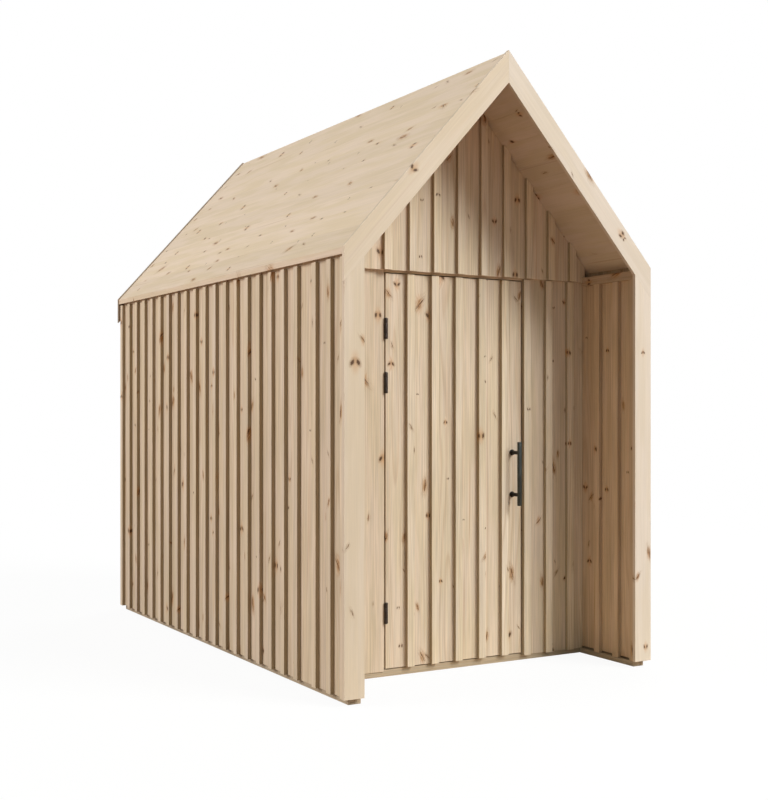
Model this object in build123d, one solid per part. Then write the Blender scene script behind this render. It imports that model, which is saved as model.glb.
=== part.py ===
from build123d import *
import math
import os

# A wooden garden shed: a gabled roof of boards, board-and-batten walls, a shallow open
# porch in front of a hinged boarded door, and flat trim boards around the front.
# Millimetres. X runs across the front, Y from front to rear, Z up.
# The origin is on the ground under the middle of the shed.

# ---- Driving dimensions ----

overall_width = 1800        # across the outer edges of the trim boards
overall_depth = 3200        # front face of the front trim to rear face of the rear trim
knee_height = 2062          # where the outer edges of the post and rake boards meet
ridge_height = 3062         # tip of the rake boards
recess_depth = 470          # front face of the trim to the boards of the front wall

trim_width = 105            # posts and rake boards, square to their length
trim_thickness = 20
post_bottom = 33            # lower ends of the post boards above the ground

deck_drop = 5               # roof boards below the upper edge of the rake boards, square to the slope
deck_thickness = 20
eave_inset = 3              # roof edge inside the outer edge of the trim

wall_thickness = 36         # boards and framing of one wall
wall_inset = 32             # outer edge of the trim to the outer face of the wall boards
batten_width = 43
batten_thickness = 20
inner_batten_thickness = 22
porch_rail_height = 45      # rail at the top of each porch side
porch_rail_top = 2047
eave_board = 12             # thickness of the side wall above the rail, where only its outer boards go on up

sill_height = 27
sill_width = 66
sill_inset = 6              # front and rear sill faces behind the faces of the wall boards
left_sill_inset = 10        # side sill faces behind the faces of the wall boards; below 0 they stand out
right_sill_inset = -16
threshold_rise = 8          # sill under the door above the rest of the front sill
sill_end_inset = 20         # front ends of the side sills behind the ends of the walls
bearer_width = 45
bearer_count = 5
floor_thickness = 22
floor_gap = 2               # around the edge of the floor

gable_bottom = 2023         # lower edge of the boards over the doorway
gable_step = 22             # gable boards in front of the wall boards below them
front_batten_gap = 4        # front wall battens short of the gable boards

doorway_width = 845
doorway_middle = 1          # right of the middle of the front
doorway_top = 2013
door_hinge_gap = 7          # between the door and the wall, on the hinged side
door_free_gap = 5
door_head_gap = 5
door_foot_gap = 5
door_back_gap = 5           # back of the door to the stop on the jambs
jamb_width = 63
jamb_depth = 45
stop_overlap = 18           # jambs and head seen inside the doorway

side_batten_pitch = 146.5   # from the wide bay to the rear corner
side_batten_count = 18      # spaces of one pitch
porch_batten_starts = (0, 135, 285)   # porch side battens, behind the front trim
front_batten_pitch = 144.4
rear_batten_count = 13

hinge_height = 103
hinge_centres = (317, 1463.5, 1733.5)
knuckle_radius = 7
knuckle_face_gap = 1        # knuckle clear of the face of the door boards
pin_radius = 3
pin_gap = 0.3
knuckle_gap = 1             # between knuckles, along the pin
middle_knuckle = 51
leaf_thickness = 2.5
face_leaf_thickness = 3
face_leaf_width = 15
edge_leaf_width = 38
leaf_notch = 8              # leaf cut back past the other leaf's knuckle
hinge_offset = 2.5          # hinge axis outside the hinged edge of the door

handle_length = 334
handle_centre_height = 992.5
handle_radius = 12.5
handle_edge_distance = 62   # handle axis to the free edge of the door
handle_standoff = 70        # handle axis in front of the door boards
handle_post_spacing = 221
handle_post_radius = 9.5
handle_base_radius = 15.5
handle_base_thickness = 6

# ---- Places worked out from them ----

half_width = overall_width / 2
front_y = -overall_depth / 2
rear_y = overall_depth / 2
slope = math.atan2(ridge_height - knee_height, half_width)
trim_drop = trim_width / math.cos(slope)

wall_outer_x = half_width - wall_inset
wall_inner_x = wall_outer_x - wall_thickness
batten_outer_x = wall_outer_x + batten_thickness
inner_batten_x = wall_inner_x - inner_batten_thickness
left_sill_x = -wall_outer_x + left_sill_inset
left_sill_inner_x = left_sill_x + sill_width
right_sill_x = wall_outer_x - right_sill_inset
right_sill_inner_x = right_sill_x - sill_width

deck_front_y = front_y + trim_thickness
deck_rear_y = rear_y - trim_thickness
front_wall_y = front_y + recess_depth
front_wall_back_y = front_wall_y + wall_thickness
front_batten_y = front_wall_y - batten_thickness
gable_y = front_wall_y - gable_step
gable_batten_y = gable_y - batten_thickness
rear_wall_y = deck_rear_y - batten_thickness
rear_wall_inner_y = rear_wall_y - wall_thickness
sill_front_y = deck_front_y + sill_end_inset
sill_rear_y = rear_wall_y - sill_inset
front_sill_y = front_wall_y + sill_inset
floor_top = sill_height + floor_thickness
threshold_top = sill_height + threshold_rise

doorway_left = doorway_middle - doorway_width / 2
doorway_right = doorway_middle + doorway_width / 2
door_left = doorway_left + door_hinge_gap
door_right = doorway_right - door_free_gap
door_top = doorway_top - door_head_gap
door_bottom = threshold_top + door_foot_gap
door_back_y = front_wall_back_y - door_back_gap
hinge_x = door_left - hinge_offset
hinge_y = front_wall_y - knuckle_face_gap - knuckle_radius
handle_x = door_right - handle_edge_distance
handle_y = front_wall_y - handle_standoff


def roof_z(x, drop):
    """Height, at x, of the line that lies drop below the rake boards' upper edge."""
    return ridge_height - abs(x) * math.tan(slope) - drop / math.cos(slope)


def block(x0, x1, y0, y1, z0, z1):
    """A square-edged timber between two corners."""
    return Pos(x0, y0, z0) * Box(x1 - x0, y1 - y0, z1 - z0, align=(Align.MIN, Align.MIN, Align.MIN))


def front_shape(points, y0, y1):
    """A board with the outline points, (x, z) seen from the front, from y0 back to y1."""
    outline = make_face(Polyline(*[(x, y0, z) for x, z in points], close=True))
    return extrude(outline, amount=y1 - y0, dir=(0, 1, 0))


def write(name, *solids):
    shape = solids[0] if len(solids) == 1 else Compound(children=list(solids))
    shape.label = name
    export_step(shape, f"parts/{name}.step")


# Everything that ends under the roof is cut with this shape of the space below the roof boards.
soffit_drop = deck_drop + deck_thickness
under_roof = front_shape(
    [
        (-half_width, -1),
        (half_width, -1),
        (half_width, roof_z(half_width, soffit_drop)),
        (0, roof_z(0, soffit_drop)),
        (-half_width, roof_z(half_width, soffit_drop)),
    ],
    front_y - 1,
    rear_y + 1,
)


def to_roof(x0, x1, y0, y1, z0):
    """An upright piece that runs from z0 up to the underside of the roof."""
    return (block(x0, x1, y0, y1, z0, ridge_height) & under_roof).solids()[0]


def mirrored(solid):
    return mirror(solid, about=Plane.YZ)


os.makedirs("parts", exist_ok=True)

# ---- Base ----

write("left_sill", block(left_sill_x, left_sill_inner_x, sill_front_y, sill_rear_y, 0, sill_height))
write("right_sill", block(right_sill_inner_x, right_sill_x, sill_front_y, sill_rear_y, 0, sill_height))


def cross_timber(y0, y1):
    """A base timber across the shed, from one side sill to the other."""
    return block(left_sill_inner_x, right_sill_inner_x, y0, y1, 0, sill_height)


front_sill_back_y = front_sill_y + sill_width
rear_sill_front_y = sill_rear_y - sill_width
threshold = block(doorway_left, doorway_right, front_sill_y, front_wall_back_y, sill_height, threshold_top)
write("front_sill", cross_timber(front_sill_y, front_sill_back_y) + threshold)
write("rear_sill", cross_timber(rear_sill_front_y, sill_rear_y))

bearer_space = (rear_sill_front_y - front_sill_back_y) / (bearer_count + 1)
bearers = []
for i in range(bearer_count):
    middle = front_sill_back_y + (i + 1) * bearer_space
    bearers.append(cross_timber(middle - bearer_width / 2, middle + bearer_width / 2))
write("floor_bearers", *bearers)

write(
    "floor",
    block(
        -wall_inner_x + floor_gap,
        wall_inner_x - floor_gap,
        front_wall_back_y,
        rear_wall_inner_y - floor_gap,
        sill_height,
        floor_top,
    ),
)

# ---- Side walls, which run on past the front wall as the sides of the porch ----

side_wall = to_roof(wall_inner_x, wall_outer_x, deck_front_y, rear_wall_y, sill_height)
side_wall -= block(
    wall_inner_x,
    wall_outer_x - eave_board,
    deck_front_y,
    gable_y,
    porch_rail_top,
    ridge_height,
)
side_wall = side_wall.solids()[0]
write("right_wall", side_wall)
write("left_wall", mirrored(side_wall))

# Battens stand on the outside from the porch to the rear corner, with one wider bay
# where the front wall joins.
last_batten_y = deck_rear_y - batten_width
porch_batten_ys = [deck_front_y + start for start in porch_batten_starts]
side_batten_ys = porch_batten_ys + [
    last_batten_y - i * side_batten_pitch for i in range(side_batten_count, -1, -1)
]
side_battens = [
    to_roof(wall_outer_x, batten_outer_x, y, y + batten_width, sill_height) for y in side_batten_ys
]
write("right_wall_battens", *side_battens)
write("left_wall_battens", *[mirrored(batten) for batten in side_battens])

rail_bottom = porch_rail_top - porch_rail_height
porch_rail = block(inner_batten_x, wall_inner_x, deck_front_y, gable_y, rail_bottom, porch_rail_top)
write("right_porch_rail", porch_rail)
write("left_porch_rail", mirrored(porch_rail))

porch_battens = [
    block(inner_batten_x, wall_inner_x, y, y + batten_width, sill_height, rail_bottom) for y in porch_batten_ys
]
write("right_porch_battens", *porch_battens)
write("left_porch_battens", *[mirrored(batten) for batten in porch_battens])

# ---- Front wall around the doorway, and the gable over it ----

write(
    "front_wall_left",
    block(-wall_inner_x, doorway_left, front_wall_y, front_wall_back_y, sill_height, gable_bottom),
)
write(
    "front_wall_right",
    block(doorway_right, wall_inner_x, front_wall_y, front_wall_back_y, sill_height, gable_bottom),
)
write(
    "front_wall_head",
    block(doorway_left, doorway_right, front_wall_y, front_wall_back_y, doorway_top, gable_bottom),
)
write("front_gable", to_roof(-wall_inner_x, wall_inner_x, gable_y, front_wall_back_y, gable_bottom))

# One row of battens runs across the whole front, counted from the free side of the doorway.
left_count = int((doorway_right + inner_batten_x) // front_batten_pitch)
right_count = int((inner_batten_x - batten_width - doorway_right) // front_batten_pitch)
front_batten_xs = [doorway_right + i * front_batten_pitch for i in range(-left_count, right_count + 1)]
wall_batten_top = gable_bottom - front_batten_gap
wall_batten_xs = [
    x for x in front_batten_xs if x >= doorway_right or x + batten_width <= doorway_left
]
door_batten_xs = [x for x in front_batten_xs if x >= door_left and x + batten_width <= door_right]

write(
    "front_gable_battens",
    *[to_roof(x, x + batten_width, gable_batten_y, gable_y, gable_bottom) for x in front_batten_xs],
)
write(
    "front_wall_battens",
    *[
        block(x, x + batten_width, front_batten_y, front_wall_y, sill_height, wall_batten_top)
        for x in wall_batten_xs
    ],
)

# ---- Rear wall ----

write("rear_wall", to_roof(-wall_inner_x, wall_inner_x, rear_wall_inner_y, rear_wall_y, sill_height))
rear_batten_pitch = (2 * wall_outer_x - batten_width) / (rear_batten_count - 1)
write(
    "rear_wall_battens",
    *[
        to_roof(
            -wall_outer_x + i * rear_batten_pitch,
            -wall_outer_x + i * rear_batten_pitch + batten_width,
            rear_wall_y,
            deck_rear_y,
            sill_height,
        )
        for i in range(rear_batten_count)
    ],
)

# ---- Doorway lining, which is also the door's stop ----

jamb_back_y = front_wall_back_y + jamb_depth
head_bottom = doorway_top - stop_overlap
left_jamb_edge = doorway_left + stop_overlap
right_jamb_edge = doorway_right - stop_overlap
write(
    "door_jamb_left",
    block(left_jamb_edge - jamb_width, left_jamb_edge, front_wall_back_y, jamb_back_y, floor_top, head_bottom),
)
write(
    "door_jamb_right",
    block(right_jamb_edge, right_jamb_edge + jamb_width, front_wall_back_y, jamb_back_y, floor_top, head_bottom),
)
write(
    "door_head",
    block(
        left_jamb_edge - jamb_width,
        right_jamb_edge + jamb_width,
        front_wall_back_y,
        jamb_back_y,
        head_bottom,
        head_bottom + jamb_width,
    ),
)

# ---- Roof ----

eave_x = half_width - eave_inset
slope_outline = [
    (0, roof_z(0, deck_drop)),
    (eave_x, roof_z(eave_x, deck_drop)),
    (eave_x, roof_z(eave_x, soffit_drop)),
    (0, roof_z(0, soffit_drop)),
]
roof_slope = front_shape(slope_outline, deck_front_y, deck_rear_y)
write("roof_right", roof_slope)
write("roof_left", mirrored(roof_slope))

# ---- Trim boards: posts and rakes in front, rakes alone at the rear ----

rake_outline = [
    (0, ridge_height),
    (half_width, knee_height),
    (half_width, knee_height - trim_drop),
    (0, ridge_height - trim_drop),
]
post_inner_x = half_width - trim_width
post_outline = [
    (half_width, post_bottom),
    (half_width, knee_height - trim_drop),
    (post_inner_x, roof_z(post_inner_x, trim_width)),
    (post_inner_x, post_bottom),
]
front_rake = front_shape(rake_outline, front_y, deck_front_y)
front_post = front_shape(post_outline, front_y, deck_front_y)
rear_rake = front_shape(rake_outline, deck_rear_y, rear_y)
for name, board in (("front_rake", front_rake), ("front_post", front_post), ("rear_rake", rear_rake)):
    write(f"{name}_right", board)
    write(f"{name}_left", mirrored(board))

# ---- Door ----

write("door_leaf", block(door_left, door_right, front_wall_y, door_back_y, door_bottom, door_top))
write(
    "door_battens",
    *[
        block(x, x + batten_width, front_batten_y, front_wall_y, door_bottom, door_top)
        for x in door_batten_xs
    ],
)

# ---- Hinges: an edge leaf with two knuckles and the pin on the doorway, a face leaf on the door ----


def upright_rod(radius, x, y, z0, z1):
    return Pos(x, y, z0) * Cylinder(radius, z1 - z0, align=(Align.CENTER, Align.CENTER, Align.MIN))


def frame_hinge(centre):
    bottom = centre - hinge_height / 2
    top = centre + hinge_height / 2
    half_middle = middle_knuckle / 2
    leaf_x = doorway_left + leaf_thickness
    leaf_back_y = hinge_y + edge_leaf_width
    solid = block(doorway_left, leaf_x, hinge_y, leaf_back_y, bottom, top)
    low_top = centre - half_middle - knuckle_gap
    high_bottom = centre + half_middle + knuckle_gap
    solid -= block(doorway_left, leaf_x, hinge_y, hinge_y + leaf_notch, low_top, high_bottom)
    solid += upright_rod(knuckle_radius, hinge_x, hinge_y, bottom, low_top)
    solid += upright_rod(knuckle_radius, hinge_x, hinge_y, high_bottom, top)
    solid += upright_rod(pin_radius, hinge_x, hinge_y, low_top, high_bottom)
    return solid.solids()[0]


def door_hinge(centre):
    bottom = centre - hinge_height / 2
    top = centre + hinge_height / 2
    low = centre - middle_knuckle / 2
    high = centre + middle_knuckle / 2
    leaf_y = front_wall_y - face_leaf_thickness
    leaf_right = hinge_x + face_leaf_width
    solid = block(hinge_x + leaf_notch, leaf_right, leaf_y, front_wall_y, bottom, top)
    solid += block(hinge_x, hinge_x + leaf_notch, leaf_y, front_wall_y, low, high)
    solid += upright_rod(knuckle_radius, hinge_x, hinge_y, low, high)
    solid -= upright_rod(pin_radius + pin_gap, hinge_x, hinge_y, low, high)
    return solid.solids()[0]


write("hinge_frame_leaves", *[frame_hinge(centre) for centre in hinge_centres])
write("hinge_door_leaves", *[door_hinge(centre) for centre in hinge_centres])

# ---- Pull handle: an upright bar on two posts with round bases ----


def handle_post(z):
    base = Cylinder(handle_base_radius, handle_base_thickness, align=(Align.CENTER, Align.CENTER, Align.MIN))
    rod = Cylinder(handle_post_radius, handle_standoff, align=(Align.CENTER, Align.CENTER, Align.MIN))
    return Pos(handle_x, front_wall_y, z) * Rot(90, 0, 0) * (base + rod)


bar = upright_rod(
    handle_radius,
    handle_x,
    handle_y,
    handle_centre_height - handle_length / 2,
    handle_centre_height + handle_length / 2,
)
handle = bar
for side in (-1, 1):
    handle += handle_post(handle_centre_height + side * handle_post_spacing / 2)
write("door_handle", handle.solids()[0])
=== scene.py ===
import math
import random

import bmesh
import bpy
from mathutils import Matrix, Vector


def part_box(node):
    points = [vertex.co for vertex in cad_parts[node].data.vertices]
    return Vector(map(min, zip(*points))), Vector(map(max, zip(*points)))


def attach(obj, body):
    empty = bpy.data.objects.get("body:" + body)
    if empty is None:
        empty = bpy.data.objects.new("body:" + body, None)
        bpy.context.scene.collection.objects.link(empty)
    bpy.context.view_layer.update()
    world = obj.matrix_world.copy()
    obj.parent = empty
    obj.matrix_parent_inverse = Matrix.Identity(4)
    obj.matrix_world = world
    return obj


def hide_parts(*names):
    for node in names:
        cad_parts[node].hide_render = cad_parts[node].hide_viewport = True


# A wooden garden shed in pale pine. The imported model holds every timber, hinge and handle at its
# real size, and this script dresses it: single boards with eased edges, grain, knots and steel.
# Metres. X runs across the front, Y from front to rear, Z up.

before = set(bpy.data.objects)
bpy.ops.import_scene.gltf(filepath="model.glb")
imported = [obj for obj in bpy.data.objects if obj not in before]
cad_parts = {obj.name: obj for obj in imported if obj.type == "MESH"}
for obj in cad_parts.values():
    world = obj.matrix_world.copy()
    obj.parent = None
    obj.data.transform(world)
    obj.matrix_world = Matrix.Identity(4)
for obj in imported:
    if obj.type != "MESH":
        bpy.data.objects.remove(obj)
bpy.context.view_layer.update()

# ---- Sizes of the joinery ----

EASE = 0.0012               # eased edge of a planed board
TIMBER_EASE = 0.002         # eased edge of a heavier timber
ROOF_EASE = 0.0005
TRIM_EASE = 0.0006
SHARP = math.radians(15)    # edges that turn more than this are eased
FLAT = math.radians(1)      # faces that turn less than this are one face
MERGE_REACH = 1e-5          # points nearer than this are one point
BOARD = 0.020               # outer boards of the end walls and the door
SIDE_BOARD = 0.012          # outer boards of the side walls
JOINT = 0.0015              # gap between neighbouring boards
ROOF_JOINT = 0.0004
LINING_COVER = 0.118        # height that one lining board covers
LEFT_PANEL_BOARDS = 3       # between the left corner of the porch and the door
ROOF_BOARDS = 9             # boards on one slope
FLOOR_BOARDS = 11
PORCH_BOARD_LIFT = 0.009    # boards of the porch sides end above the sill
BATTEN_DROP = 0.008         # side battens end this far below the eave
LEDGE_HEIGHT = 0.095        # boards across the back of the door
LEDGE_END_GAP = 0.075
LEDGE_HEIGHTS = (0.17, 0.5, 0.83)   # their places, as shares of the door's height
BRACE_WIDTH = 0.085
PITH_REACH = (0.05, 0.17)   # from the middle of a board to the pith of its log
LOG_LENGTH = 60             # a board is taken from anywhere along this length
END_SAWN = 0.4              # how far the end of a board looks sawn
SQUARELY = 0.9              # a side faces one way when its normal agrees this well

# ---- Sizes of the steel ----

STEEL_EASE = 0.0005
CRISP = math.radians(35)    # round parts keep the rims that turn more than this
ROD_SIDES = 32
BAR_SIDES = 40              # of the bar and the bases of its posts
SCREW_SIDES = 16
KNUCKLE_RADIUS = 0.007
MIDDLE_KNUCKLE = 0.051      # length of the door's knuckle
KNUCKLE_GAP = 0.001
PIN_HEAD_RADIUS = 0.0055
PIN_HEAD_RISE = 0.0018
PIN_HEAD_TOP = 0.6          # share of its radius
LEAF_THICKNESS = 0.0025
FACE_LEAF_THICKNESS = 0.003
EDGE_LEAF_WIDTH = 0.038
LEAF_NOTCH = 0.008          # leaf cut back past the other leaf's knuckle
LEAF_LAP = STEEL_EASE * 3   # of the two parts that make a notched leaf
SCREW_RADIUS = 0.0026
SCREW_RISE = 0.0006
SCREW_RECESS = 0.55         # share of the head's radius
SCREW_DEPTH = 0.7           # share of the head's rise
SCREW_PLACES = (-0.4, -0.15, 0.15, 0.4)     # along a leaf, as shares of its height
BAR_RADIUS = 0.0125
BAR_EASE = 0.0022
POST_RADIUS = 0.0095
POST_SPACING = 0.221
BASE_RADIUS = 0.0155
BASE_THICKNESS = 0.006
BASE_EASE = STEEL_EASE * 3
NECK_RADIUS = 0.0125        # foot of a post, where it spreads into its base
NECK_LENGTH = 0.007
COLLAR_RADIUS = 0.0108
COLLAR_LENGTH = 0.004

# ---- Finishes ----

KNOT_SIZES = (0.65, 1.5)    # smallest and largest, in given radii
PAIRED_SHARE = 0.42         # of the knots are pairs of dashes
LEAN = 0.75                 # a dash leans this far at most, in radians
RAGGED = (0.005, 0.010, 0.0)            # how far the outline of a knot strays
PIN_SHARE = 0.45            # small knots, for each large one
PIN_KNOTS = {"Spacing Across": 0.12, "Spacing Along": 0.31, "Radius": 0.0029}
PIN_SMEAR = 0.8
STAIN_COVER = 0.5           # how much of the wood's colour each part of a knot hides
SMEAR_COVER = 0.85
CORE_COVER = 0.92
BEND = (0.07, 0.07, 0.0)                # how far the rings stray
YEAR = ((0.0, 0.12), (0.45, 0.05), (0.86, 1.0), (1.0, 0.12))   # the ring line through one year
BOARD_TONES = (0.95, 1.04)  # darkest and lightest board
HALF = (0.5, 0.5, 0.5)      # middle of a pattern's colour
RUBBED_COVER = 0.3          # how much of the steel's coat is rubbed
BUMP = 0.35                 # strength of the relief
WOOD_RELIEF = 0.0006
WOOD_SHEEN = 0.35
STEEL_RELIEF = 0.0002
STEEL_METAL = 0.35

# ---- Light, floor and camera ----

LIT_POINT = Vector((0, -0.4, 1.2))      # what the lamps face
KEY_PLACE = (33, 35, 30.0)              # a lamp's azimuth, elevation and distance
KEY_SIZE = (14.0, 14.0)
KEY_POWER = 7850
KEY_TINT = (0.985, 1.0, 0.94)
FILL_PLACE = (-104, 22, 20.0)
FILL_SIZE = (10.0, 9.0)
FILL_POWER = 2440
FILL_TINT = (1.0, 0.967, 0.93)
REAR_PLACE = (130, 25, 20.0)
REAR_SIZE = (10.0, 9.0)
REAR_POWER = 1500
AMBIENT = (0.20, 0.235, 0.22, 1)        # light from all round
WHITE = (1, 1, 1, 1)
FLOOR_REACH = 60
FLOOR_ROUGHNESS = 0.9
FLOOR_TINT = (0.32, 0.20, 0.14, 1)      # of the light that the floor throws back
PORCH_TINT = (0.76, 0.62, 0.49, 1)      # the same, in and before the porch
PORCH_MIDDLE = (0.1, -1.4, 0.0)
PORCH_REACH = (1.5, 0.5)    # the porch's tint starts and is full at these distances from its middle
FLOOR_GLOW = 0.93           # share of plain white in the floor that the camera sees
FLOOR_CLEAR = (3.5, 8.0)    # the floor turns fully white between these distances
EYE = (-3.5227, -6.4959, 1.3362)
EYE_TURN = (math.radians(90), 0, math.radians(-30.013))
LENS = 56.09
LENS_RISE = 0.01036

X = Vector((1, 0, 0))
Y = Vector((0, 1, 0))
Z = Vector((0, 0, 1))
OUTWARD = {"right": 1, "left": -1}

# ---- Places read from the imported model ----

wall_lo, wall_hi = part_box("right_wall")
gable_lo, gable_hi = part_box("front_gable")
roof_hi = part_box("roof_right")[1]
rear_lo, rear_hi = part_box("rear_wall")
rise = (gable_hi.z - wall_hi.z) / wall_lo.x     # of the roof, for each metre across
pitch = math.atan(rise)
up_right = Vector((math.sin(pitch), 0, math.cos(pitch)))     # out of the right roof slope
up_left = Vector((-up_right.x, 0, up_right.z))
soffit_ridge = Vector((0, 0, gable_hi.z))


# ---- Modelling ----

def timber(x0, x1, y0, y1, z0, z1):
    """A square-edged board between two corners."""
    bm = bmesh.new()
    bmesh.ops.create_cube(bm, size=1)
    bmesh.ops.scale(bm, vec=(x1 - x0, y1 - y0, z1 - z0), verts=bm.verts)
    bmesh.ops.translate(bm, vec=((x0 + x1) / 2, (y0 + y1) / 2, (z0 + z1) / 2), verts=bm.verts)
    return bm


def saw(bm, point, outward):
    """Saws bm through a plane and takes away the side that outward points to."""
    whole = bm.verts[:] + bm.edges[:] + bm.faces[:]
    bmesh.ops.bisect_plane(bm, geom=whole, plane_co=point, plane_no=outward, clear_outer=True)
    open_edges = [edge for edge in bm.edges if edge.is_boundary]
    if open_edges:
        bmesh.ops.holes_fill(bm, edges=open_edges)
    return bm


def under_roof(bm):
    """Cuts the top of an upright board to the underside of both roof slopes."""
    saw(bm, soffit_ridge, up_right)
    return saw(bm, soffit_ridge, up_left)


def ease(bm, width=EASE, segments=2):
    """Rounds the sharp edges over."""
    sharp = [edge for edge in bm.edges if edge.calc_face_angle(0) > SHARP]
    bmesh.ops.bevel(
        bm,
        geom=sharp,
        offset=width,
        affect="EDGES",
        segments=segments,
        profile=0.5,
        material=-1,
        clamp_overlap=True,
    )
    return bm


def solids(name):
    """The separate solids of a CAD node, merged and with flat faces whole."""
    bm = bmesh.new()
    bm.from_mesh(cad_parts[name].data)
    bmesh.ops.remove_doubles(bm, verts=bm.verts, dist=MERGE_REACH)
    bmesh.ops.dissolve_limit(bm, angle_limit=FLAT, verts=bm.verts, edges=bm.edges)
    found = []
    while bm.verts:
        first = next(iter(bm.verts))
        island = {first}
        reached = [first]
        while reached:
            for link in reached.pop().link_edges:
                fresh = [v for v in link.verts if v not in island]
                island.update(fresh)
                reached.extend(fresh)
        others = {i for i, v in enumerate(bm.verts) if v not in island}
        solid = bm.copy()
        unwanted = [v for i, v in enumerate(solid.verts) if i in others]
        bmesh.ops.delete(solid, geom=unwanted, context="VERTS")
        found.append(solid)
        bmesh.ops.delete(bm, geom=list(island), context="VERTS")
    bm.free()
    return found


def spans(name, axis):
    """(low, high) of each solid of a CAD node along an axis, in order."""
    found = []
    for solid in solids(name):
        along = [v.co[axis] for v in solid.verts]
        found.append((min(along), max(along)))
        solid.free()
    return sorted(found)


def saw_from_log(bm, along, across, rng):
    """Marks each point with its place in the log, from the pith, and how saw-cut each face looks, a
    mark that also puts painted shade on the narrow sides.
    """
    bmesh.ops.recalc_face_normals(bm, faces=bm.faces)
    deep = along.cross(across)
    axes = (across, deep, along)
    places = [Vector([v.co.dot(axis) for axis in axes]) for v in bm.verts]
    middle = sum(places, Vector()) / len(places)
    turn = rng.uniform(0, math.tau)
    reach = rng.uniform(*PITH_REACH)
    pith = Vector((reach * math.cos(turn), reach * math.sin(turn), rng.uniform(0, LOG_LENGTH)))
    board_tone = rng.random()
    grain = bm.verts.layers.float_vector.new("grain")
    tone = bm.verts.layers.float.new("tone")
    for v, place in zip(bm.verts, places):
        v[grain] = place - middle + pith
        v[tone] = board_tone
    sawn_and_shade = bm.faces.layers.float.new("sawn_and_shade")
    for face in bm.faces:
        narrow = abs(face.normal.dot(across))
        end = abs(face.normal.dot(along))
        face[sawn_and_shade] = max(min(1, 2 * narrow - 0.9), END_SAWN * end, 0)
    return bm


def join(name, parts, material, body, replaced):
    """Makes one finished piece of its parts."""
    whole = bmesh.new()
    for part in parts:
        passing = bpy.data.meshes.new("part")
        part.to_mesh(passing)
        part.free()
        whole.from_mesh(passing)
        bpy.data.meshes.remove(passing)
    mesh = bpy.data.meshes.new(name)
    whole.to_mesh(mesh)
    whole.free()
    mesh.materials.append(material)
    piece = bpy.data.objects.new(name, mesh)
    bpy.context.scene.collection.objects.link(piece)
    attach(piece, body)
    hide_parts(*replaced)
    return piece


def dress(name, material, along, across, body="shed", width=EASE, top=None):
    """Every solid of a CAD node with eased edges and a grain of its own, cut level at top if given."""
    rng = random.Random(name)
    parts = []
    for solid in solids(name):
        if top is not None:
            saw(solid, Vector((0, 0, top)), Z)
        parts.append(saw_from_log(ease(solid, width), along, across, rng))
    return join(f"{name}_planed", parts, material, body, [name])


def board_row(edges, make, along, across, rng, joint=JOINT, width=EASE):
    """Boards between neighbouring edges; make(low, high) gives one board, square-edged."""
    row = []
    for low, high in zip(edges, edges[1:]):
        board = ease(make(low + joint / 2, high - joint / 2), width)
        row.append(saw_from_log(board, along, across, rng))
    return row


def even(low, high, count):
    """The edges of count equal spaces from low to high."""
    return [low + (high - low) * i / count for i in range(count + 1)]


def behind(battens, low, high):
    """Board edges from low to high that lie behind the middles of battens."""
    middles = [(a + b) / 2 for a, b in battens]
    return [low] + [m for m in middles if low + BOARD < m < high - BOARD] + [high]


# ---- Shader building ----

def node(tree, kind, inputs=None, **settings):
    """A new shader node. inputs holds values, or sockets to link, by name or number."""
    made = tree.nodes.new("ShaderNode" + kind)
    for key, value in settings.items():
        setattr(made, key, value)
    for key, value in (inputs or {}).items():
        if isinstance(value, bpy.types.NodeSocket):
            tree.links.new(value, made.inputs[key])
        else:
            made.inputs[key].default_value = value
    return made


def calc(tree, operation, *values):
    return node(tree, "Math", dict(enumerate(values)), operation=operation).outputs[0]


def vector(tree, operation, *values):
    return node(tree, "VectorMath", dict(enumerate(values)), operation=operation).outputs[0]


def fade(tree, value, start, end):
    """0 at start, 1 at end, smooth between and level beyond."""
    inputs = {"Value": value, "From Min": start, "From Max": end}
    return node(tree, "MapRange", inputs, interpolation_type="SMOOTHSTEP").outputs[0]


def blend(tree, factor, first, second, kind="MIX"):
    mixed = node(tree, "Mix", {0: factor, 6: first, 7: second}, data_type="RGBA", blend_type=kind)
    return mixed.outputs[2]


def blend_values(tree, factor, first, second):
    return node(tree, "Mix", {0: factor, 2: first, 3: second}, data_type="FLOAT").outputs[0]


def flat_place(tree, across, along=0.0, deep=0.0):
    """A vector out of separate values."""
    return node(tree, "CombineXYZ", {0: across, 1: along, 2: deep}).outputs[0]


def length_of(tree, place):
    return node(tree, "VectorMath", {0: place}, operation="LENGTH").outputs["Value"]


def parts_of(tree, place):
    return node(tree, "SeparateXYZ", {0: place}).outputs


def noise(tree, place, scale, detail=2.0, roughness=0.5, distortion=0.0):
    inputs = {"Vector": place, "Scale": scale, "Detail": detail, "Roughness": roughness}
    inputs["Distortion"] = distortion
    return node(tree, "TexNoise", inputs)


def ramp(tree, value, *stops):
    """A grey level that runs through stops, each a position and a level."""
    made = node(tree, "ValToRGB", {0: value})
    elements = made.color_ramp.elements
    while len(elements) < len(stops):
        elements.new(1)
    for element, (position, level) in zip(elements, stops):
        element.position = position
        element.color = (level, level, level, 1)
    return made.outputs[0]


def colour(red, green, blue):
    """A colour written as 0 to 255, as linear light."""
    levels = []
    for level in (red, green, blue):
        share = level / 255
        levels.append(share / 12.92 if share <= 0.04045 else ((share + 0.055) / 1.055) ** 2.4)
    return (*levels, 1)


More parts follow.
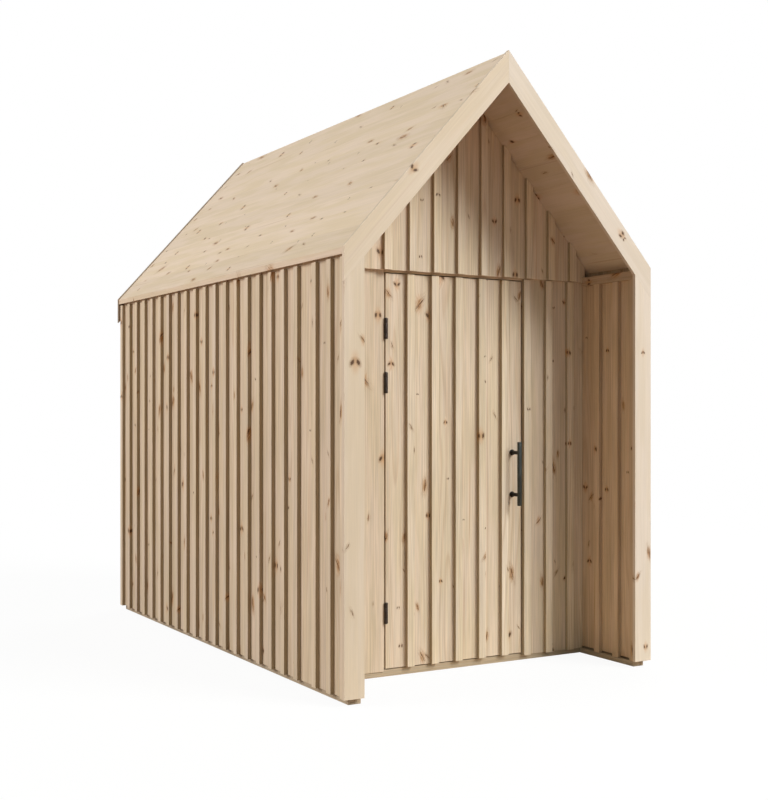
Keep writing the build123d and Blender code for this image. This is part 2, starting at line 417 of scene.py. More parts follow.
def new_group(name, inputs, outputs):
    """An empty group, with what comes in and where its results go."""
    tree = bpy.data.node_groups.new(name, "ShaderNodeTree")
    for label, kind, value in inputs:
        socket = tree.interface.new_socket(label, in_out="INPUT", socket_type="NodeSocket" + kind)
        if value is not None:
            socket.default_value = value
    for label, kind in outputs:
        tree.interface.new_socket(label, in_out="OUTPUT", socket_type="NodeSocket" + kind)
    return tree, tree.nodes.new("NodeGroupInput").outputs, tree.nodes.new("NodeGroupOutput")


def spread(tree, value, low, high, start=0.3, end=0.7):
    """Turns start to end into low to high."""
    inputs = {"Value": value, "From Min": start, "From Max": end, "To Min": low, "To Max": high}
    return node(tree, "MapRange", inputs).outputs[0]


def oval_reach(tree, side, length, half_width, half_length):
    """Distance from the middle of an oval, 1 at its rim."""
    across = calc(tree, "DIVIDE", side, half_width)
    along = calc(tree, "DIVIDE", length, half_length)
    return length_of(tree, flat_place(tree, across, along))


def use(tree, group, inputs):
    """Places a group in a tree with its own values."""
    return node(tree, "Group", inputs, node_tree=group).outputs


def put_out(tree, out, **values):
    """Links the results of a group to its outputs."""
    for label, value in values.items():
        tree.links.new(value, out.inputs[label])


def knot_group():
    """Scattered knots: a pair of dark dashes, or one streaky smear, in a drawn-out stain."""
    tree, given, out = new_group(
        "Knots",
        [
            ("Place", "Vector", None),
            ("Spacing Across", "Float", 0.13),
            ("Spacing Along", "Float", 0.40),
            ("Share", "Float", 0.5),
            ("Radius", "Float", 0.0055),
        ],
        [("Core", "Float"), ("Smear", "Float"), ("Stain", "Float"), ("Swirl", "Float")],
    )
    across, deep, along = parts_of(tree, given["Place"])
    # A knot slants through its board, so the edges show other knots than the face.
    through = calc(tree, "MULTIPLY_ADD", deep, 0.4, across)
    spacing = flat_place(tree, given["Spacing Across"], given["Spacing Along"], 1.0)
    cells = vector(tree, "DIVIDE", flat_place(tree, through, along), spacing)
    scattering = {"Vector": cells, "Scale": 1.0, "Randomness": 0.9}
    scatter = node(tree, "TexVoronoi", scattering, voronoi_dimensions="2D").outputs
    offset = vector(tree, "SUBTRACT", cells, scatter["Position"])
    offset = vector(tree, "MULTIPLY", offset, spacing)
    ragged = vector(tree, "SUBTRACT", noise(tree, given["Place"], 150.0, 1.0).outputs["Color"], HALF)
    offset = vector(tree, "ADD", offset, vector(tree, "MULTIPLY", ragged, RAGGED))
    side, length, _ = parts_of(tree, offset)
    kind, size, keep = node(tree, "SeparateColor", {0: scatter["Color"]}).outputs
    radius = calc(tree, "MULTIPLY", spread(tree, size, *KNOT_SIZES, 0.0, 1.0), given["Radius"])
    paired = calc(tree, "LESS_THAN", kind, PAIRED_SHARE)
    present = calc(tree, "LESS_THAN", keep, given["Share"])

    # The two dashes of a pair lean towards or away from each other.
    apart = calc(tree, "MULTIPLY", radius, 1.9)
    folded = calc(tree, "SUBTRACT", calc(tree, "ABSOLUTE", side), apart)
    upright = flat_place(tree, blend_values(tree, paired, side, folded), length)
    any_way = calc(tree, "FRACT", calc(tree, "MULTIPLY", size, 7.3))
    turning = {"Vector": upright, "Angle": spread(tree, any_way, -LEAN, LEAN, 0.0, 1.0)}
    leaning = node(tree, "VectorRotate", turning, rotation_type="Z_AXIS").outputs[0]
    dash_side, dash_length, _ = parts_of(tree, leaning)
    half_width = calc(tree, "MULTIPLY", radius, blend_values(tree, paired, 2.2, 1.0))
    half_length = calc(tree, "MULTIPLY", radius, blend_values(tree, paired, 6.6, 1.8))
    reach = oval_reach(tree, dash_side, dash_length, half_width, half_length)
    fibre_place = flat_place(tree, dash_side, calc(tree, "MULTIPLY", dash_length, 0.10), keep)
    hairs = fade(tree, noise(tree, fibre_place, 260.0, 1.0).outputs[0], 0.40, 0.60)
    aside = calc(tree, "MULTIPLY_ADD", radius, -0.35, dash_side)
    thin_width = calc(tree, "MULTIPLY", radius, 0.38)
    thin_length = calc(tree, "MULTIPLY", half_length, 0.7)
    thin = oval_reach(tree, aside, dash_length, thin_width, thin_length)
    dash = fade(tree, reach, 1.15, 0.65)
    line = calc(tree, "MULTIPLY", fade(tree, thin, 1.25, 0.6), 0.95)
    core = blend_values(tree, paired, line, dash)
    lines = spread(tree, hairs, 0.25, 1.0, 0.0, 1.0)
    streaky = calc(tree, "MULTIPLY", fade(tree, reach, 1.3, 0.4), lines)
    rim = calc(tree, "MULTIPLY", fade(tree, reach, 2.3, 0.9), 0.5)
    feather = calc(tree, "MULTIPLY", fade(tree, reach, 2.0, 0.9), hairs)
    feather = calc(tree, "MULTIPLY", feather, 0.35)
    smear = calc(tree, "MAXIMUM", blend_values(tree, paired, streaky, rim), feather)

    wide = calc(tree, "MULTIPLY", radius, 4.0)
    tall = calc(tree, "MULTIPLY", radius, 9.0)
    stain = fade(tree, oval_reach(tree, side, length, wide, tall), 1.0, 0.0)
    put_out(
        tree,
        out,
        Core=calc(tree, "MULTIPLY", core, present),
        Smear=calc(tree, "MULTIPLY", smear, present),
        Stain=calc(tree, "MULTIPLY", stain, present),
        Swirl=calc(tree, "MULTIPLY", calc(tree, "MULTIPLY", stain, radius), present),
    )
    return tree


def grain_group():
    """Growth rings around the pith, and light and dark along the fibres in three widths."""
    tree, given, out = new_group(
        "Grain",
        [("Place", "Vector", None), ("Swirl", "Float", 0.0), ("Ring Width", "Float", 0.0075)],
        [
            ("Rings", "Float"),
            ("Fibres", "Float"),
            ("Level", "Float"),
            ("Hue", "Float"),
            ("Resin", "Float"),
        ],
    )
    place = given["Place"]

    def drawn_out(share, scale, detail=2.0, roughness=0.5, distortion=0.0):
        """A pattern that is stretched along the log."""
        stretched = vector(tree, "MULTIPLY", place, (1.0, 1.0, share))
        return noise(tree, stretched, scale, detail, roughness, distortion).outputs

    bend = vector(tree, "SUBTRACT", drawn_out(0.09, 5.0)["Color"], HALF)
    bend = vector(tree, "MULTIPLY", bend, BEND)
    across, deep, _ = parts_of(tree, vector(tree, "ADD", place, bend))
    from_pith = length_of(tree, flat_place(tree, across, deep))
    # The rings swell round a knot, and some years are wider than others.
    from_pith = calc(tree, "MULTIPLY_ADD", given["Swirl"], 1.6, from_pith)
    seasons = noise(tree, flat_place(tree, from_pith), 55.0, 1.0).outputs[0]
    from_pith = calc(tree, "MULTIPLY_ADD", seasons, 0.014, from_pith)
    year = calc(tree, "FRACT", calc(tree, "DIVIDE", from_pith, given["Ring Width"]))
    rings = ramp(tree, year, *YEAR)

    fibres = drawn_out(0.018, 420.0, roughness=0.6)[0]
    streaks = drawn_out(0.02, 150.0, roughness=0.6)[0]
    bands = drawn_out(0.04, 34.0, distortion=0.3)[0]
    level = calc(tree, "MULTIPLY", spread(tree, streaks, 0.87, 1.08), spread(tree, bands, 0.94, 1.06))
    level = calc(tree, "MULTIPLY", level, spread(tree, fibres, 0.93, 1.04))
    hue = drawn_out(0.12, 16.0, roughness=0.6)[0]
    resin = fade(tree, drawn_out(0.012, 60.0, roughness=0.55)[0], 0.62, 0.74)
    put_out(tree, out, Rings=rings, Fibres=fibres, Level=level, Hue=hue, Resin=resin)
    return tree


def pine_group(knots, grain):
    """Planed pine. Pale and Warm are the two ends of its ground colour, Late is its ring lines."""
    tree, given, out = new_group(
        "Pine",
        [
            ("Pale", "Color", None),
            ("Warm", "Color", None),
            ("Late", "Color", LATE),
            ("Lines", "Float", 0.35),
            ("Streaks", "Float", 1.0),
            ("Resin", "Float", 0.5),
            ("Knot Share", "Float", 0.55),
            ("Sawn Shade", "Color", WHITE),
        ],
        [("Color", "Color"), ("Roughness", "Float"), ("Height", "Float")],
    )
    place = node(tree, "Attribute", attribute_name="grain").outputs["Vector"]
    tone = node(tree, "Attribute", attribute_name="tone").outputs["Fac"]
    sawn_and_shade = node(tree, "Attribute", attribute_name="sawn_and_shade").outputs["Fac"]
    big = use(tree, knots, {"Place": place, "Share": given["Knot Share"]})
    elsewhere = vector(tree, "ADD", place, (3.1, 0.0, 7.7))
    pin_share = calc(tree, "MULTIPLY", given["Knot Share"], PIN_SHARE)
    pins = use(tree, knots, {"Place": elsewhere, "Share": pin_share, **PIN_KNOTS})
    wood = use(tree, grain, {"Place": place, "Swirl": big["Swirl"]})

    ground = blend(tree, fade(tree, wood["Hue"], 0.36, 0.64), given["Pale"], given["Warm"])
    ground = blend(tree, calc(tree, "MULTIPLY", wood["Rings"], given["Lines"]), ground, given["Late"])
    resinous = fade(tree, calc(tree, "FRACT", calc(tree, "MULTIPLY", tone, 7.0)), 0.35, 0.9)
    resin = calc(tree, "MULTIPLY", wood["Resin"], given["Resin"])
    ground = blend(tree, calc(tree, "MULTIPLY", resin, resinous), ground, RESIN)
    level = blend_values(tree, given["Streaks"], 1.0, wood["Level"])
    level = calc(tree, "MULTIPLY", level, spread(tree, tone, *BOARD_TONES, 0.0, 1.0))
    ground = node(tree, "VectorMath", {0: ground, "Scale": level}, operation="SCALE").outputs[0]
    # Marked sides turn darker: partly the duller colour of sawn wood, partly painted shade where those
    # sides lie in shade.
    ground = blend(tree, sawn_and_shade, ground, given["Sawn Shade"], "MULTIPLY")
    ground = blend(tree, calc(tree, "MULTIPLY", big["Stain"], STAIN_COVER), ground, STAIN)
    smear = calc(tree, "MAXIMUM", big["Smear"], calc(tree, "MULTIPLY", pins["Smear"], PIN_SMEAR))
    ground = blend(tree, calc(tree, "MULTIPLY", smear, SMEAR_COVER), ground, SMEAR)
    core = calc(tree, "MAXIMUM", big["Core"], pins["Core"])
    finished = blend(tree, calc(tree, "MULTIPLY", core, CORE_COVER), ground, KNOT)

    dull = spread(tree, wood["Rings"], 0.68, 0.56, 0.0, 1.0)
    dull = calc(tree, "SUBTRACT", dull, calc(tree, "MULTIPLY", core, 0.15))
    relief = calc(tree, "MULTIPLY_ADD", wood["Rings"], 0.5, wood["Fibres"])
    relief = calc(tree, "SUBTRACT", relief, calc(tree, "MULTIPLY", core, 0.8))
    put_out(tree, out, Color=finished, Roughness=dull, Height=relief)
    return tree


def steel_group():
    """A dark satin coat, rubbed paler in places."""
    tree, given, out = new_group(
        "Coated steel",
        [("Shade", "Color", None), ("Rubbed Shade", "Color", None), ("Satin", "Float", 0.4)],
        [("Color", "Color"), ("Roughness", "Float"), ("Height", "Float")],
    )
    place = node(tree, "TexCoord").outputs["Object"]
    speckle = noise(tree, place, 900.0, 2.0).outputs[0]
    rubbed = fade(tree, noise(tree, place, 35.0, 3.0, 0.6).outputs[0], 0.45, 0.75)
    rubbed = calc(tree, "MULTIPLY", rubbed, RUBBED_COVER)
    tone = blend(tree, rubbed, given["Shade"], given["Rubbed Shade"])
    satin = calc(tree, "MULTIPLY", given["Satin"], spread(tree, speckle, 0.88, 1.15))
    put_out(tree, out, Color=tone, Roughness=satin, Height=speckle)
    return tree


def finish(name, group, relief, **values):
    """A material that shows one of the groups. relief is the depth of its surface in metres."""
    material = bpy.data.materials.new(name)
    material.use_nodes = True
    tree = material.node_tree
    surface = tree.nodes["Principled BSDF"]
    shown = use(tree, group, {key.replace("_", " "): value for key, value in values.items()})
    tree.links.new(shown["Color"], surface.inputs["Base Color"])
    tree.links.new(shown["Roughness"], surface.inputs["Roughness"])
    bump = node(tree, "Bump", {"Height": shown["Height"], "Strength": BUMP, "Distance": relief})
    tree.links.new(bump.outputs[0], surface.inputs["Normal"])
    return material


def pine(name, pale, warm, **values):
    material = finish(name, pine_shown, WOOD_RELIEF, Pale=pale, Warm=warm, **values)
    surface = material.node_tree.nodes["Principled BSDF"]
    surface.inputs["Specular IOR Level"].default_value = WOOD_SHEEN
    return material


def coated_steel(name, shade, rubbed_shade, satin):
    shades = {"Shade": shade, "Rubbed_Shade": rubbed_shade}
    material = finish(name, steel_shown, STEEL_RELIEF, Satin=satin, **shades)
    surface = material.node_tree.nodes["Principled BSDF"]
    surface.inputs["Metallic"].default_value = STEEL_METAL
    return material


# ---- Woods and steels ----

LATE = colour(190, 152, 112)            # ring lines
RESIN = colour(168, 118, 66)
STAIN = colour(206, 150, 92)
SMEAR = colour(148, 101, 50)
KNOT = colour(78, 49, 24)
# These shades darken the marked sides of boards: partly the duller colour of sawn wood, partly painted
# shade on narrow sides, backs and undersides that lie in shade.
SAWN_AND_SHADED = (0.58, 0.55, 0.48, 1)            # what sawn sides keep of the planed colour, deepened into painted shade
LIGHTLY_SAWN_AND_SHADED = (0.88, 0.86, 0.84, 1)
FINELY_SAWN_AND_SHADED = (0.78, 0.77, 0.76, 1)
REAR_TRIM_PAINTED_SHADE = (0.37, 0.34, 0.31, 1)      # painted shade on all sides of the rear trim but its rear face
# Painted shade on the underside of the roof boards.
SOFFIT_PAINTED_SHADE = (0.87, 0.89, 0.94, 1)
EVEN_WOOD = {"Lines": 0.06, "Streaks": 0.28, "Resin": 0.1, "Knot_Share": 0.62}

pine_shown = pine_group(knot_group(), grain_group())
steel_shown = steel_group()

wall_pine = pine(
    "Wall boards",
    colour(228, 209, 188),
    colour(222, 203, 176),
    Knot_Share=0.6,
    Sawn_Shade=SAWN_AND_SHADED,
)
batten_pine = pine(
    "Battens",
    colour(230, 212, 192),
    colour(224, 206, 179),
    Knot_Share=0.5,
    Sawn_Shade=SAWN_AND_SHADED,
)
front_batten_pine = pine(
    "Front battens",
    colour(240, 225, 207),
    colour(234, 218, 193),
    Knot_Share=0.5,
    Sawn_Shade=SAWN_AND_SHADED,
)
# A darker, warmer copy of the wall boards for the porch sides: painted shade.
porch_pine_painted_shade = pine(
    "Porch sides with painted shade",
    colour(225, 199, 174),
    colour(218, 192, 162),
    Sawn_Shade=FINELY_SAWN_AND_SHADED,
)
door_pine = pine(
    "Door boards",
    colour(233, 215, 197),
    colour(226, 209, 185),
    Streaks=1.15,
    Resin=0.8,
    Knot_Share=0.68,
    Sawn_Shade=LIGHTLY_SAWN_AND_SHADED,
)
roof_pine = pine(
    "Roof boards",
    colour(233, 212, 191),
    colour(226, 205, 177),
    Lines=0.07,
    Streaks=0.28,
    Resin=0.3,
    Knot_Share=0.6,
    Sawn_Shade=SOFFIT_PAINTED_SHADE,
)
trim_pine = pine(
    "Trim boards",
    colour(237, 220, 202),
    colour(233, 215, 193),
    Sawn_Shade=LIGHTLY_SAWN_AND_SHADED,
    **EVEN_WOOD,
)
# A paler copy of the trim boards for the right-hand trims: painted light.
trim_pine_painted_light = pine(
    "Pale trim boards with painted light",
    colour(243, 229, 217),
    colour(239, 224, 208),
    Sawn_Shade=LIGHTLY_SAWN_AND_SHADED,
    **EVEN_WOOD,
)
rear_trim_pine = pine(
    "Rear trim boards",
    colour(241, 224, 210),
    colour(237, 219, 201),
    Sawn_Shade=REAR_TRIM_PAINTED_SHADE,
    **EVEN_WOOD,
)
frame_pine = pine("Frame timber", colour(224, 204, 180), colour(214, 191, 162), Knot_Share=0.3)
base_pine = pine("Base timber", colour(194, 179, 158), colour(184, 167, 144), Knot_Share=0.3, Resin=0.2)
floor_pine = pine("Floor boards", colour(222, 204, 178), colour(214, 191, 162), Sawn_Shade=SAWN_AND_SHADED)
hinge_steel = coated_steel("Hinge steel", colour(52, 42, 37), colour(98, 84, 78), 0.42)
handle_steel = coated_steel("Handle steel", colour(56, 63, 62), colour(98, 107, 107), 0.26)
post_steel = coated_steel("Handle posts", colour(22, 17, 15), colour(48, 41, 37), 0.45)


# ---- Base ----

def base():
    for side in ("right", "left"):
        dress(f"{side}_sill", base_pine, Y, X, width=TIMBER_EASE)
    for name in ("front_sill", "rear_sill", "floor_bearers"):
        dress(name, base_pine, X, Y, width=TIMBER_EASE)


def floor():
    lo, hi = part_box("floor")

    def board(a, b):
        return timber(a, b, lo.y, hi.y, lo.z, hi.z)

    rows = board_row(even(lo.x, hi.x, FLOOR_BOARDS), board, Y, X, random.Random("floor"), joint=0)
    join("floor_laid", rows, floor_pine, "shed", ["floor"])


# ---- Walls ----

def lining(x0, x1, y0, y1, z0, z1, along, rng):
    """Level boards over the inside of a wall, cut to the roof where they meet it."""
    rows = max(1, round((z1 - z0) / LINING_COVER))

    def board(a, b):
        return under_roof(timber(x0, x1, y0, y1, a, b))

    return board_row(even(z0, z1, rows), board, along, Z, rng)


def paint_shade_facing(piece, facing):
    """Marks only the sides of a piece that face one way, for painted shade."""
    sawn_and_shade = piece.data.attributes["sawn_and_shade"].data
    for face in piece.data.polygons:
        sawn_and_shade[face.index].value = 1.0 if face.normal.dot(facing) > SQUARELY else 0.0


def paint_shade_except_facing(piece, facing):
    """Marks every side of a piece but the one that faces one way, for painted shade."""
    sawn_and_shade = piece.data.attributes["sawn_and_shade"].data
    for face in piece.data.polygons:
        sawn_and_shade[face.index].value = 0.0 if face.normal.dot(facing) > SQUARELY else 1.0


def paint_shade_on_backs(row, facing):
    """Marks the sides of boards that face one way as well, for painted shade."""
    for board in row:
        sawn_and_shade = board.faces.layers.float["sawn_and_shade"]
        for face in board.faces:
            if face.normal.dot(facing) > SQUARELY:
                face[sawn_and_shade] = 1.0


def side_wall(side):
    """Upright boards jointed behind the battens, lined level inside and upright in the porch."""
    name = f"{side}_wall"
    lo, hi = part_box(name)
    rail_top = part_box(f"{side}_porch_rail")[1].z
    outward = OUTWARD[side]
    rng = random.Random(name)
    outer, inner = (hi.x, lo.x) if side == "right" else (lo.x, hi.x)
    middle = outer - outward * SIDE_BOARD
    outer_xs = sorted((outer, middle))
    inner_xs = sorted((inner, middle))
    porch_end = gable_hi.y

    def outer_board(a, b):
        return under_roof(timber(*outer_xs, a, b, lo.z, hi.z))

    def porch_board(a, b):
        return timber(*inner_xs, a, b, lo.z + PORCH_BOARD_LIFT, rail_top)

    edges = behind(spans(f"{name}_battens", 1), lo.y, hi.y)
    parts = board_row(edges, outer_board, Z, Y, rng)
    # Painted shade on the backs of the outer boards, seen in the dark pocket above the porch rail.
    paint_shade_on_backs(parts, -outward * X)
    parts += lining(*inner_xs, porch_end, rear_lo.y, lo.z, hi.z, Y, rng)
    join(f"{name}_boards", parts, wall_pine, "shed", [name])
    edges = behind(spans(f"{side}_porch_battens", 1), lo.y, porch_end)
    parts = board_row(edges, porch_board, Z, Y, rng)
    join(f"{side}_porch_boards", parts, porch_pine_painted_shade, "shed", [name])


def end_panel(name, edges):
    """Upright boards of an end wall with an upright lining behind."""
    lo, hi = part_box(name)
    rng = random.Random(name)
    face = lo.y + BOARD

    def outer_board(a, b):
        return under_roof(timber(a, b, lo.y, face, lo.z, hi.z))

    def inner_board(a, b):
        return under_roof(timber(a, b, face, hi.y, lo.z, hi.z))

    parts = board_row(edges, outer_board, Z, X, rng) + board_row(edges, inner_board, Z, X, rng)
    join(f"{name}_boards", parts, door_pine, "shed", [name])


def front_wall():
    lo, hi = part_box("front_wall_left")
    end_panel("front_wall_left", even(lo.x, hi.x, LEFT_PANEL_BOARDS))
    lo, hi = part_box("front_wall_right")
    end_panel("front_wall_right", behind(spans("front_wall_battens", 0), lo.x, hi.x))
    end_panel("front_gable", behind(spans("front_gable_battens", 0), gable_lo.x, gable_hi.x))
    dress("front_wall_head", wall_pine, X, Z)


def rear_wall():
    rng = random.Random("rear_wall")
    face = rear_hi.y - BOARD

    def board(a, b):
        return under_roof(timber(a, b, face, rear_hi.y, rear_lo.z, rear_hi.z))

    edges = behind(spans("rear_wall_battens", 0), rear_lo.x, rear_hi.x)
    parts = board_row(edges, board, Z, X, rng)
    parts += lining(rear_lo.x, rear_hi.x, rear_lo.y, face, rear_lo.z, rear_hi.z, X, rng)
    join("rear_wall_boards", parts, wall_pine, "shed", ["rear_wall"])


def battens():
    for side in ("right", "left"):
        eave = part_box(f"roof_{side}")[0].z
        dress(f"{side}_wall_battens", batten_pine, Z, Y, top=eave - BATTEN_DROP)
        dress(f"{side}_porch_battens", porch_pine_painted_shade, Z, Y)
    for name in ("front_gable_battens", "front_wall_battens"):
        dress(name, front_batten_pine, Z, X)
    dress("rear_wall_battens", batten_pine, Z, X)


def frame_timbers():
    for side, inward in (("right", -X), ("left", X)):
        # Painted shade on the inner face of each porch rail.
        paint_shade_facing(dress(f"{side}_porch_rail", porch_pine_painted_shade, Y, Z), inward)
        dress(f"door_jamb_{side}", frame_pine, Z, X, width=TIMBER_EASE)
    dress("door_head", frame_pine, X, Z, width=TIMBER_EASE)


# ---- Roof and trim ----

def slope_ways(side):
    """The way down a roof slope and the way out of it."""
    down = Vector((OUTWARD[side] * math.cos(pitch), 0, -math.sin(pitch)))
    up = Vector((OUTWARD[side] * math.sin(pitch), 0, math.cos(pitch)))
    return down, up


def roof_slope(side):
    """Boards along the ridge, cut upright where they meet at the ridge and at the eave."""
    name = f"roof_{side}"
    lo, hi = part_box(name)
    outward = OUTWARD[side]
    down, up = slope_ways(side)
    ridge_top = Vector((0, 0, hi.z))
    thickness = (hi.z - gable_hi.z) * math.cos(pitch)
    lap = thickness * math.tan(pitch)
    length = roof_hi.x / math.cos(pitch)
    rng = random.Random(name)
    turn = Matrix(((down.x, 0, up.x), (0, outward, 0), (down.z, 0, up.z))).to_4x4()
    eave = Vector((outward * roof_hi.x, 0, 0))

    def board(a, b):
        start = -lap if a < JOINT else a
        end = length + lap if b > length - JOINT else b
        bm = timber(start, end, lo.y, hi.y, -thickness, 0)
        bmesh.ops.transform(bm, matrix=Matrix.Translation(ridge_top) @ turn, verts=bm.verts)
        bmesh.ops.recalc_face_normals(bm, faces=bm.faces)
        saw(bm, Vector(), Vector((-outward, 0, 0)))
        return saw(bm, eave, Vector((outward, 0, 0)))

    parts = board_row(even(0, length, ROOF_BOARDS), board, Y, down, rng, ROOF_JOINT, ROOF_EASE)
    # Painted shade on the underside of the slope.
    paint_shade_facing(join(f"{name}_boards", parts, roof_pine, "shed", [name]), -up)


def roof():
    for side in ("right", "left"):
        roof_slope(side)


def trim():
    # The right-hand front trims are paler: painted light.
    for side, front_pine in (("right", trim_pine_painted_light), ("left", trim_pine)):
        down, up = slope_ways(side)
        dress(f"front_rake_{side}", front_pine, down, up, width=TRIM_EASE)
        rear = dress(f"rear_rake_{side}", rear_trim_pine, down, up, width=TRIM_EASE)
        # Every side of the rear rake but its rear face gets painted shade.
        paint_shade_except_facing(rear, Y)
        dress(f"front_post_{side}", front_pine, Z, X, width=TRIM_EASE)


# ---- Door ----

def door():
    lo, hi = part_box("door_leaf")
    rng = random.Random("door_leaf")
    back = lo.y + BOARD

    def board(a, b):
        return timber(a, b, lo.y, back, lo.z, hi.z)

    parts = board_row(behind(spans("door_battens", 0), lo.x, hi.x), board, Z, X, rng)
    left = lo.x + LEDGE_END_GAP
    right = hi.x - LEDGE_END_GAP
    half = LEDGE_HEIGHT / 2
    middles = [lo.z + (hi.z - lo.z) * share for share in LEDGE_HEIGHTS]
    for middle in middles:
        ledge = timber(left, right, back, hi.y, middle - half, middle + half)
        parts.append(saw_from_log(ease(ledge), X, Z, rng))
    for low, high in zip(middles, middles[1:]):
        parts.append(brace(left, right, back, hi.y, low + half, high - half, rng))
    join("door_leaf_boards", parts, door_pine, "door", ["door_leaf"])
    dress("door_battens", front_batten_pine, Z, X, body="door")


def brace(x0, x1, y0, y1, z0, z1, rng):
    """A board that climbs from the hinged side to the free side between two ledges."""
    foot = Vector((x0 + BRACE_WIDTH, 0, z0))
    top = Vector((x1 - BRACE_WIDTH, 0, z1))
    climb = (top - foot).normalized()
    angle = math.atan2(climb.x, climb.z)
    middle = (foot + top) / 2
    half = (x1 - x0) + (z1 - z0)
    bm = timber(-BRACE_WIDTH / 2, BRACE_WIDTH / 2, y0, y1, -half, half)
    turn = Matrix.Translation(middle) @ Matrix.Rotation(angle, 4, "Y")
    bmesh.ops.transform(bm, matrix=turn, verts=bm.verts)
    saw(bm, Vector((0, 0, z1)), Z)
    saw(bm, Vector((0, 0, z0)), -Z)
    return saw_from_log(ease(bm), climb, climb.cross(Y), rng)


# ---- Hinges and handle ----

def rod(radius, start, end, segments=ROD_SIDES, end_radius=None):
    """A round bar from one point to another, drawn in or spread to end_radius if that is given."""
    bm = bmesh.new()
    reach = end - start
    far_radius = radius if end_radius is None else end_radius
    bmesh.ops.create_cone(
        bm,
        cap_ends=True,
        segments=segments,
        radius1=radius,
        radius2=far_radius,
        depth=reach.length,
    )
    turn = reach.to_track_quat("Z", "Y").to_matrix().to_4x4()
    middle = Matrix.Translation((start + end) / 2)
    bmesh.ops.transform(bm, matrix=middle @ turn, verts=bm.verts)
    return bm


def screw(place, outward):
    """A low screw head with a recess."""
    bm = rod(SCREW_RADIUS, place, place + outward * SCREW_RISE, SCREW_SIDES)
    ease(bm, SCREW_RISE / 3, 1)
    top = max(bm.faces, key=lambda face: face.calc_center_median().dot(outward))
    bmesh.ops.inset_region(bm, faces=[top], thickness=SCREW_RADIUS * (1 - SCREW_RECESS))
    bmesh.ops.translate(bm, vec=-outward * SCREW_RISE * SCREW_DEPTH, verts=top.verts)
    return bm


def knuckle(x, y, z0, z1):
    return ease(rod(KNUCKLE_RADIUS, Vector((x, y, z0)), Vector((x, y, z1))), STEEL_EASE)


def pin_head(x, y, z, upward):
    """The flattened end of the pin, on top of the upper knuckle or under the lower one."""
    start = Vector((x, y, z))
    end = start + Z * upward * PIN_HEAD_RISE
    return rod(PIN_HEAD_RADIUS, start, end, end_radius=PIN_HEAD_RADIUS * PIN_HEAD_TOP)


def leaf(x0, x1, y0, y1, z0, z1):
    return ease(timber(x0, x1, y0, y1, z0, z1), STEEL_EASE)


def smooth(piece):
    """Shades the round parts smooth and keeps their rims crisp."""
    piece.data.shade_smooth()
    piece.data.set_sharp_from_angle(angle=CRISP)


def hinges():
    """Butt hinges: an edge leaf, two knuckles and the pin on the doorway, a face leaf on the door."""
    lo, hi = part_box("hinge_door_leaves")
    x = lo.x + KNUCKLE_RADIUS
    y = lo.y + KNUCKLE_RADIUS
    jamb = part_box("front_wall_left")[1].x
    edge = jamb + LEAF_THICKNESS
    notch = y + LEAF_NOTCH
    back = y + EDGE_LEAF_WIDTH
    face = hi.y - FACE_LEAF_THICKNESS
    near = x + LEAF_NOTCH
    frame_parts = []
    door_parts = []
    for bottom, top in spans("hinge_door_leaves", 2):
        middle = (bottom + top) / 2
        low = middle - MIDDLE_KNUCKLE / 2
        high = middle + MIDDLE_KNUCKLE / 2
        under = low - KNUCKLE_GAP
        over = high + KNUCKLE_GAP
        frame_parts += [
            leaf(jamb, edge, notch, back, bottom, top),
            leaf(jamb, edge, y, notch + LEAF_LAP, bottom, under),
            leaf(jamb, edge, y, notch + LEAF_LAP, over, top),
            knuckle(x, y, bottom, under),
            knuckle(x, y, over, top),
            rod(KNUCKLE_RADIUS / 2, Vector((x, y, under)), Vector((x, y, over))),
            pin_head(x, y, top, 1),
            pin_head(x, y, bottom, -1),
        ]
        door_parts += [
            leaf(near, hi.x, face, hi.y, bottom, top),
            leaf(x, near + LEAF_LAP, face, hi.y, low, high),
            knuckle(x, y, low, high),
        ]
        for share in SCREW_PLACES:
            z = middle + share * (top - bottom)
            frame_parts.append(screw(Vector((edge, (notch + back) / 2, z)), X))
            door_parts.append(screw(Vector(((near + hi.x) / 2, face, z)), -Y))
    for name, parts, body in (
        ("hinge_frame_leaves", frame_parts, "shed"),
        ("hinge_door_leaves", door_parts, "door"),
    ):
        smooth(join(f"{name}_finished", parts, hinge_steel, body, [name]))


def handle():
    """An upright bar with rounded ends, on two posts that spread into round bases."""
    lo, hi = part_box("door_handle")
    x = (lo.x + hi.x) / 2
    y = lo.y + BAR_RADIUS
    middle = (lo.z + hi.z) / 2
    bar = rod(BAR_RADIUS, Vector((x, y, lo.z)), Vector((x, y, hi.z)), BAR_SIDES)
    ease(bar, BAR_EASE, 3)
    smooth(join("door_handle_bar", [bar], handle_steel, "door", ["door_handle"]))
    parts = []
    for side in (-1, 1):
        at = Vector((x, hi.y, middle + side * POST_SPACING / 2))
        base = at - Y * BASE_THICKNESS
        neck = base - Y * NECK_LENGTH
        head = Vector((x, y, at.z))
        collar = head + Y * (BAR_RADIUS + COLLAR_LENGTH)
        parts += [
            ease(rod(BASE_RADIUS, at, base, BAR_SIDES), BASE_EASE, 3),
            rod(NECK_RADIUS, base + Y * STEEL_EASE, neck, end_radius=POST_RADIUS),
            rod(POST_RADIUS, neck + Y * STEEL_EASE, head),
            ease(rod(COLLAR_RADIUS, collar, head), STEEL_EASE),
        ]
    smooth(join("door_handle_posts", parts, post_steel, "door", ["door_handle"]))


# ---- Stage, light and camera ----

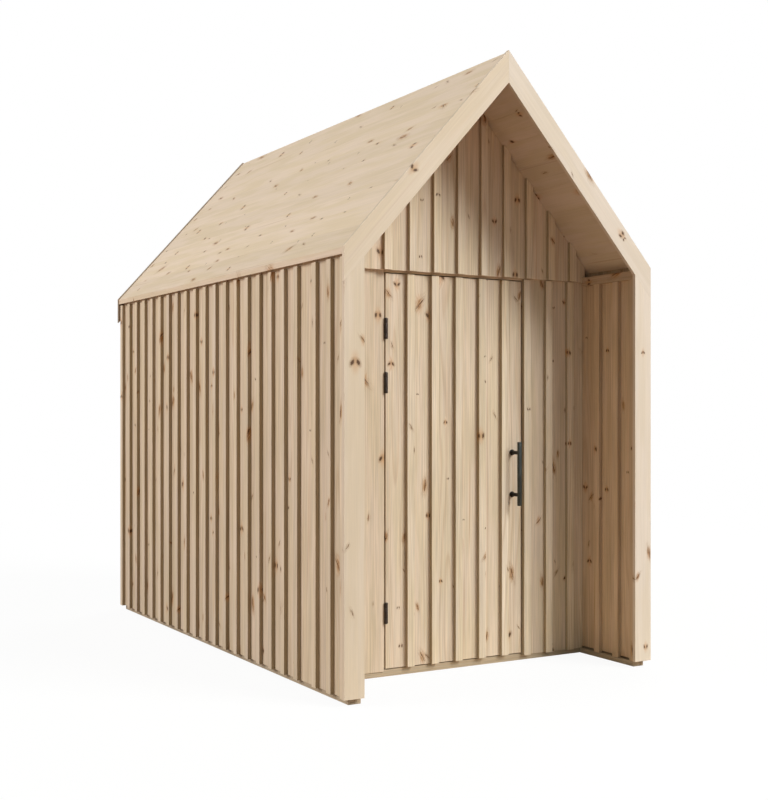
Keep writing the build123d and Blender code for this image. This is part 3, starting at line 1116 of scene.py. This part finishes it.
def stage():
    """A floor that looks white, keeps the shed's soft shadow and throws back a warmer light."""
    bm = bmesh.new()
    bmesh.ops.create_grid(bm, x_segments=1, y_segments=1, size=FLOOR_REACH)
    mesh = bpy.data.meshes.new("studio_floor")
    bm.to_mesh(mesh)
    bm.free()
    material = bpy.data.materials.new("Studio floor")
    material.use_nodes = True
    tree = material.node_tree
    surface = tree.nodes["Principled BSDF"]
    surface.inputs["Roughness"].default_value = FLOOR_ROUGHNESS
    glow = node(tree, "Emission", {"Color": WHITE, "Strength": 1.0})
    seen = node(tree, "LightPath").outputs["Is Camera Ray"]
    place = node(tree, "TexCoord").outputs["Object"]
    from_porch = node(tree, "VectorMath", {0: place, 1: PORCH_MIDDLE}, operation="DISTANCE")
    near_porch = fade(tree, from_porch.outputs["Value"], *PORCH_REACH)
    bounced = blend(tree, near_porch, FLOOR_TINT, PORCH_TINT)
    tree.links.new(blend(tree, seen, bounced, WHITE), surface.inputs["Base Color"])
    clear = fade(tree, length_of(tree, place), *FLOOR_CLEAR)
    share = calc(tree, "MULTIPLY_ADD", clear, 1 - FLOOR_GLOW, FLOOR_GLOW)
    share = calc(tree, "MULTIPLY", seen, share)
    mixed = node(tree, "MixShader", {0: share, 1: surface.outputs[0], 2: glow.outputs[0]})
    tree.links.new(mixed.outputs[0], tree.nodes["Material Output"].inputs["Surface"])
    mesh.materials.append(material)
    ground = bpy.data.objects.new("studio_floor", mesh)
    bpy.context.scene.collection.objects.link(ground)


def lamp(name, place, size, power, tint=WHITE[:3]):
    """A soft box that faces the shed. Its azimuth turns from the front towards the right."""
    azimuth, elevation, distance = place
    around = math.radians(azimuth)
    above = math.radians(elevation)
    level = math.cos(above)
    towards = Vector((math.sin(around) * level, -math.cos(around) * level, math.sin(above)))
    data = bpy.data.lights.new(name, "AREA")
    data.shape = "RECTANGLE"
    data.size, data.size_y = size
    data.energy = power
    data.color = tint
    made = bpy.data.objects.new(name, data)
    made.location = LIT_POINT + towards * distance
    made.rotation_euler = (-towards).to_track_quat("-Z", "Y").to_euler()
    bpy.context.scene.collection.objects.link(made)


def lights():
    """Three lamps, a little light from all round, and a white ground behind the shed."""
    lamp("key", KEY_PLACE, KEY_SIZE, KEY_POWER, KEY_TINT)
    lamp("side_fill", FILL_PLACE, FILL_SIZE, FILL_POWER, FILL_TINT)
    lamp("rear_fill", REAR_PLACE, REAR_SIZE, REAR_POWER)
    world = bpy.data.worlds.new("studio")
    bpy.context.scene.world = world
    world.use_nodes = True
    tree = world.node_tree
    background = tree.nodes["Background"]
    path = node(tree, "LightPath").outputs
    seen = calc(tree, "MAXIMUM", path["Is Camera Ray"], path["Is Glossy Ray"])
    tint = blend(tree, seen, AMBIENT, WHITE)
    tree.links.new(tint, background.inputs["Color"])


def camera():
    """Eye height, in front and to the left."""
    data = bpy.data.cameras.new("view")
    data.lens = LENS
    data.shift_y = LENS_RISE
    made = bpy.data.objects.new("view", data)
    made.location = EYE
    made.rotation_euler = EYE_TURN
    bpy.context.scene.collection.objects.link(made)
    bpy.context.scene.camera = made


base()
floor()
side_wall("right")
side_wall("left")
front_wall()
rear_wall()
battens()
frame_timbers()
roof()
trim()
door()
hinges()
handle()
stage()
lights()
camera()
bpy.context.scene.view_settings.view_transform = "Standard"
